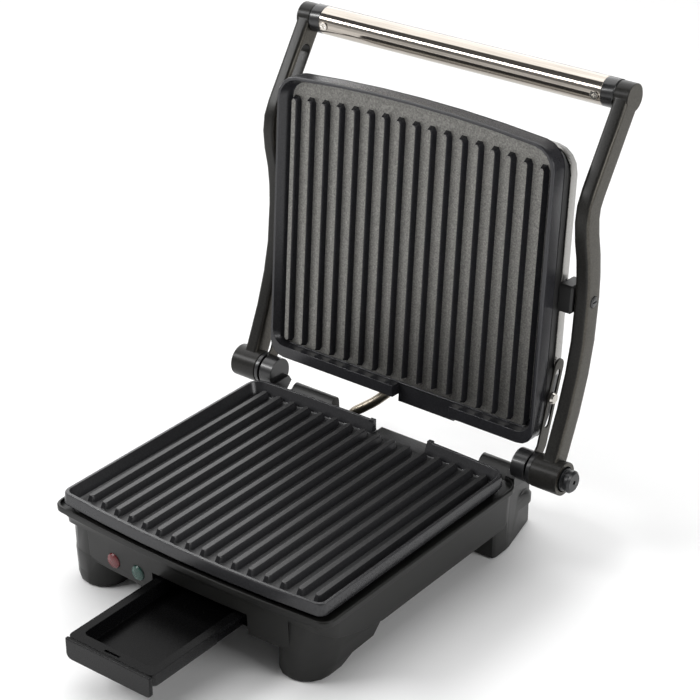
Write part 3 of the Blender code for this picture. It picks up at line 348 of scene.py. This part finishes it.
def make_finishes():
    red_at = (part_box("power_lens")[0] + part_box("power_lens")[1]) / 2.0
    green_at = (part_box("ready_lens")[0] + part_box("ready_lens")[1]) / 2.0
    return {
        "housing_plastic": moulded("housing_plastic", (0.0085, 0.0085, 0.0080),
                                   (0.0150, 0.0150, 0.0140), (0.34, 0.46),
                                   Specular_IOR_Level=0.30),
        "cover_plastic": moulded("cover_plastic", (0.006, 0.006, 0.006), (0.012, 0.012, 0.012),
                                 (0.40, 0.55)),
        "gloss_plastic": moulded("gloss_plastic", (0.011, 0.011, 0.012), (0.020, 0.020, 0.021),
                                 (0.24, 0.36), 600.0, 0.00002, 0.0010, Coat_Weight=0.1),
        "tray_plastic": tray_plastic(),
        "button_plastic": moulded("button_plastic", (0.009, 0.0095, 0.0105), (0.017, 0.018, 0.020),
                                  (0.26, 0.38), 900.0, 0.00003, 0.0006),
        "terminal_plastic": moulded("terminal_plastic", (0.42, 0.39, 0.34), (0.60, 0.57, 0.50),
                                    (0.45, 0.6)),
        "rubber": moulded("rubber", (0.008, 0.008, 0.008), (0.016, 0.016, 0.016), (0.65, 0.85),
                          700.0, 0.00015, 0.0006),
        # For nonstick the first colour is the painted sheen on the flat faces, the second the
        # plain dark coating.
        "nonstick": nonstick("nonstick_lower", UP, level("lower_grill_plate", UP, 0.0),
                             (0.036, 0.036, 0.037), (0.025, 0.025, 0.027), 0.40, 0.3),
        "nonstick_lid": nonstick("nonstick_lid", LID_FACING,
                                 level("upper_grill_plate", LID_FACING, LID_RIM_LEVEL),
                                 (0.190, 0.186, 0.174), (0.022, 0.022, 0.025), 0.42, 0.75,
                                 LID_UP, level("upper_grill_plate", LID_UP, LID_RIB_START)),
        "arm_metal": arm_finish(),
        "handle_steel": metal("handle_steel", (0.34, 0.31, 0.275), (0.46, 0.42, 0.375),
                              (0.07, 0.14), 60.0, 0.00001, (0.2, 6.0, 6.0), 0.0008),
        "cover_steel": metal("cover_steel", (0.24, 0.232, 0.218), (0.37, 0.36, 0.34),
                             (0.22, 0.36), 900.0, 0.00003, (0.02, 1.0, 1.0), 0.0006),
        "screw_steel": metal("screw_steel", (0.50, 0.47, 0.43), (0.72, 0.69, 0.64),
                             (0.14, 0.26), 400.0, 0.00002, (1.0, 1.0, 1.0), 0.0003),
        "pin_steel": metal("pin_steel", (0.32, 0.31, 0.30), (0.50, 0.49, 0.47), (0.2, 0.34)),
        "element_metal": metal("element_metal", (0.12, 0.115, 0.11), (0.24, 0.23, 0.22),
                               (0.35, 0.5)),
        "reflector_metal": metal("reflector_metal", (0.50, 0.50, 0.50), (0.70, 0.70, 0.70),
                                 (0.2, 0.35), 300.0, 0.00004, (0.1, 1.0, 1.0)),
        "fuse_brass": metal("fuse_brass", (0.45, 0.30, 0.12), (0.62, 0.45, 0.20), (0.22, 0.35)),
        "conduit_metal": metal("conduit_metal", (0.30, 0.26, 0.20), (0.48, 0.43, 0.35),
                               (0.24, 0.36), 900.0, 0.00004, (1.0, 1.0, 1.0), 0.0004),
        "red_lens": lamp_lens("red_lens", (0.045, 0.004, 0.005), (0.20, 0.022, 0.026), red_at),
        "green_lens": lamp_lens("green_lens", (0.004, 0.022, 0.017), (0.016, 0.085, 0.065),
                                green_at),
    }


def dress_nodes(finishes):
    """Gives each CAD node its finish and smooths its round faces."""
    for name, node in NODES.items():
        node.data.materials.clear()
        finish = SLOT_OF[name]
        if name == "upper_grill_plate":
            finish = "nonstick_lid"
        # Pivot screws take the black gloss plastic: a painted shade standing in for the dark
        # recess they sit in.
        if name.startswith("pivot_screw"):
            finish = "gloss_plastic"
        node.data.materials.append(finishes[finish])
        for face in node.data.polygons:
            face.use_smooth = True
            face.material_index = 0
        weld = node.modifiers.new("weld", "WELD")
        weld.merge_threshold = 0.00001
        split = node.modifiers.new("edges", "EDGE_SPLIT")
        split.split_angle = SMOOTHING_ANGLE
        node.modifiers.new("normals", "WEIGHTED_NORMAL").keep_sharp = True


# ---------------------------------------------------------------- pieces

CONDUIT_KNOTS = (
    (-63.0, 174.0, -39.0), (-62.5, 174.0, -32.5), (-57.5, 174.0, -26.0),
    (-48.0, 174.0, -18.5), (-36.0, 175.0, -9.0), (-27.0, 176.0, -0.5),
    (-22.4, 177.0, 4.2), (-21.1, 177.3, 7.9),
)
CONDUIT_RADIUS = 4.74
CONDUIT_STEPS = 241
WINDING_DEPTH = 0.13


def piece(name, bm, finish, smooth=True):
    mesh = bpy.data.meshes.new(name)
    bmesh.ops.recalc_face_normals(bm, faces=bm.faces)
    bm.to_mesh(mesh)
    bm.free()
    for face in mesh.polygons:
        face.use_smooth = smooth
    mesh.materials.append(finish)
    made = bpy.data.objects.new(name, mesh)
    bpy.context.scene.collection.objects.link(made)
    return made


def smooth_path(knots, count):
    """Evenly spaced points of a smooth curve through the knots."""
    knots = [Vector(k) for k in knots]
    dense = []
    for i in range(len(knots) - 1):
        p0 = knots[max(0, i - 1)]
        p1 = knots[i]
        p2 = knots[i + 1]
        p3 = knots[min(len(knots) - 1, i + 2)]
        for k in range(24):
            t = k / 24.0
            dense.append(0.5 * (2.0 * p1 + (p2 - p0) * t
                                + (2.0 * p0 - 5.0 * p1 + 4.0 * p2 - p3) * t * t
                                + (3.0 * p1 - p0 - 3.0 * p2 + p3) * t ** 3))
    dense.append(knots[-1])
    lengths = [0.0]
    for a, b in zip(dense, dense[1:]):
        lengths.append(lengths[-1] + (b - a).length)
    points = []
    j = 0
    for i in range(count):
        want = lengths[-1] * i / (count - 1)
        while j < len(dense) - 2 and lengths[j + 1] < want:
            j += 1
        step = lengths[j + 1] - lengths[j]
        share = (want - lengths[j]) / step if step > 0.0 else 0.0
        points.append(dense[j].lerp(dense[j + 1], share))
    return points


def swept(path, radii, sides):
    """A closed tube along the path with one radius for each point."""
    bm = bmesh.new()
    rings = []
    normal = Vector((0.0, 1.0, 0.0))
    for i, (point, radius) in enumerate(zip(path, radii)):
        ahead = path[min(len(path) - 1, i + 1)] - path[max(0, i - 1)]
        ahead.normalize()
        normal = (normal - ahead * normal.dot(ahead)).normalized()
        across = ahead.cross(normal)
        ring = []
        for k in range(sides):
            a = 2.0 * math.pi * k / sides
            spoke = normal * math.cos(a) + across * math.sin(a)
            ring.append(bm.verts.new(point + spoke * radius))
        rings.append(ring)
    for low, high in zip(rings, rings[1:]):
        for k in range(sides):
            n = (k + 1) % sides
            bm.faces.new((low[k], low[n], high[n], high[k]))
    bm.faces.new(list(reversed(rings[0])))
    bm.faces.new(rings[-1])
    return bm


def wound_conduit(finishes):
    """Flexible metal conduit, a fine wound strip from the housing to the lid."""
    path = [DATUM + point * MM for point in smooth_path(CONDUIT_KNOTS, CONDUIT_STEPS)]
    radii = [(CONDUIT_RADIUS + WINDING_DEPTH * math.sin(i * math.pi / 2.0)) * MM
             for i in range(CONDUIT_STEPS)]
    tube = piece("conduit_winding", swept(path, radii, 24), finishes["conduit_metal"])
    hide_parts("conduit")
    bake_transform(tube)


# ---------------------------------------------------------------- studio


def area_light(name, place, target, size, power):
    data = bpy.data.lights.new(name, "AREA")
    data.shape = "RECTANGLE"
    data.size = size[0]
    data.size_y = size[1]
    data.energy = power
    light = bpy.data.objects.new(name, data)
    bpy.context.scene.collection.objects.link(light)
    light.location = place
    aim = Vector(target) - Vector(place)
    light.rotation_euler = aim.to_track_quat("-Z", "Y").to_euler()


def studio():
    bm = bmesh.new()
    bmesh.ops.create_grid(bm, x_segments=2, y_segments=2, size=30.0)
    bmesh.ops.translate(bm, vec=(0.0, 0.0, -0.0004), verts=bm.verts)
    floor_shader = Shader("studio_floor")
    tone = floor_shader.noise(3.0, 2.0)
    floor_shader.colour(floor_shader.ramp(tone, [(0.3, (0.94, 0.94, 0.94)),
                                                 (0.7, (0.96, 0.96, 0.96))]))
    floor_shader.fixed(Roughness=0.9)
    floor = piece("studio_floor", bm, floor_shader.material, smooth=False)
    studio_world()
    bpy.context.scene.view_settings.view_transform = "Standard"
    centre = (0.0, 0.03, 0.18)
    sun = bpy.data.lights.new("daylight", "SUN")
    sun.energy = 3.2
    sun.angle = math.radians(84.0)
    sun_object = bpy.data.objects.new("daylight", sun)
    bpy.context.scene.collection.objects.link(sun_object)
    sun_object.rotation_euler = Vector((0.50, -0.50, -0.74)).to_track_quat("-Z", "Y").to_euler()
    area_light("key", (-1.5, -1.2, 1.5), centre, (1.3, 0.24), 28.0)
    area_light("side", (1.7, 0.1, 0.9), centre, (0.8, 0.8), 11.0)


def studio_world():
    """Fairly bright near the horizon and dim overhead."""
    world = bpy.data.worlds.new("studio")
    world.use_nodes = True
    tree = world.node_tree
    coords = tree.nodes.new("ShaderNodeTexCoord")
    split = tree.nodes.new("ShaderNodeSeparateXYZ")
    ramp = tree.nodes.new("ShaderNodeValToRGB")
    elements = ramp.color_ramp.elements
    elements[0].position = 0.05
    elements[0].color = (0.46, 0.46, 0.46, 1.0)
    elements[1].position = 0.85
    elements[1].color = (0.16, 0.16, 0.16, 1.0)
    middle = elements.new(0.42)
    middle.color = (0.12, 0.12, 0.12, 1.0)
    tree.links.new(coords.outputs["Generated"], split.inputs["Vector"])
    tree.links.new(split.outputs["Z"], ramp.inputs["Fac"])
    tree.links.new(ramp.outputs["Color"], tree.nodes["Background"].inputs["Color"])
    tree.nodes["Background"].inputs["Strength"].default_value = 1.0
    bpy.context.scene.world = world


make_camera()
studio()
FINISHES = make_finishes()
dress_nodes(FINISHES)
wound_conduit(FINISHES)
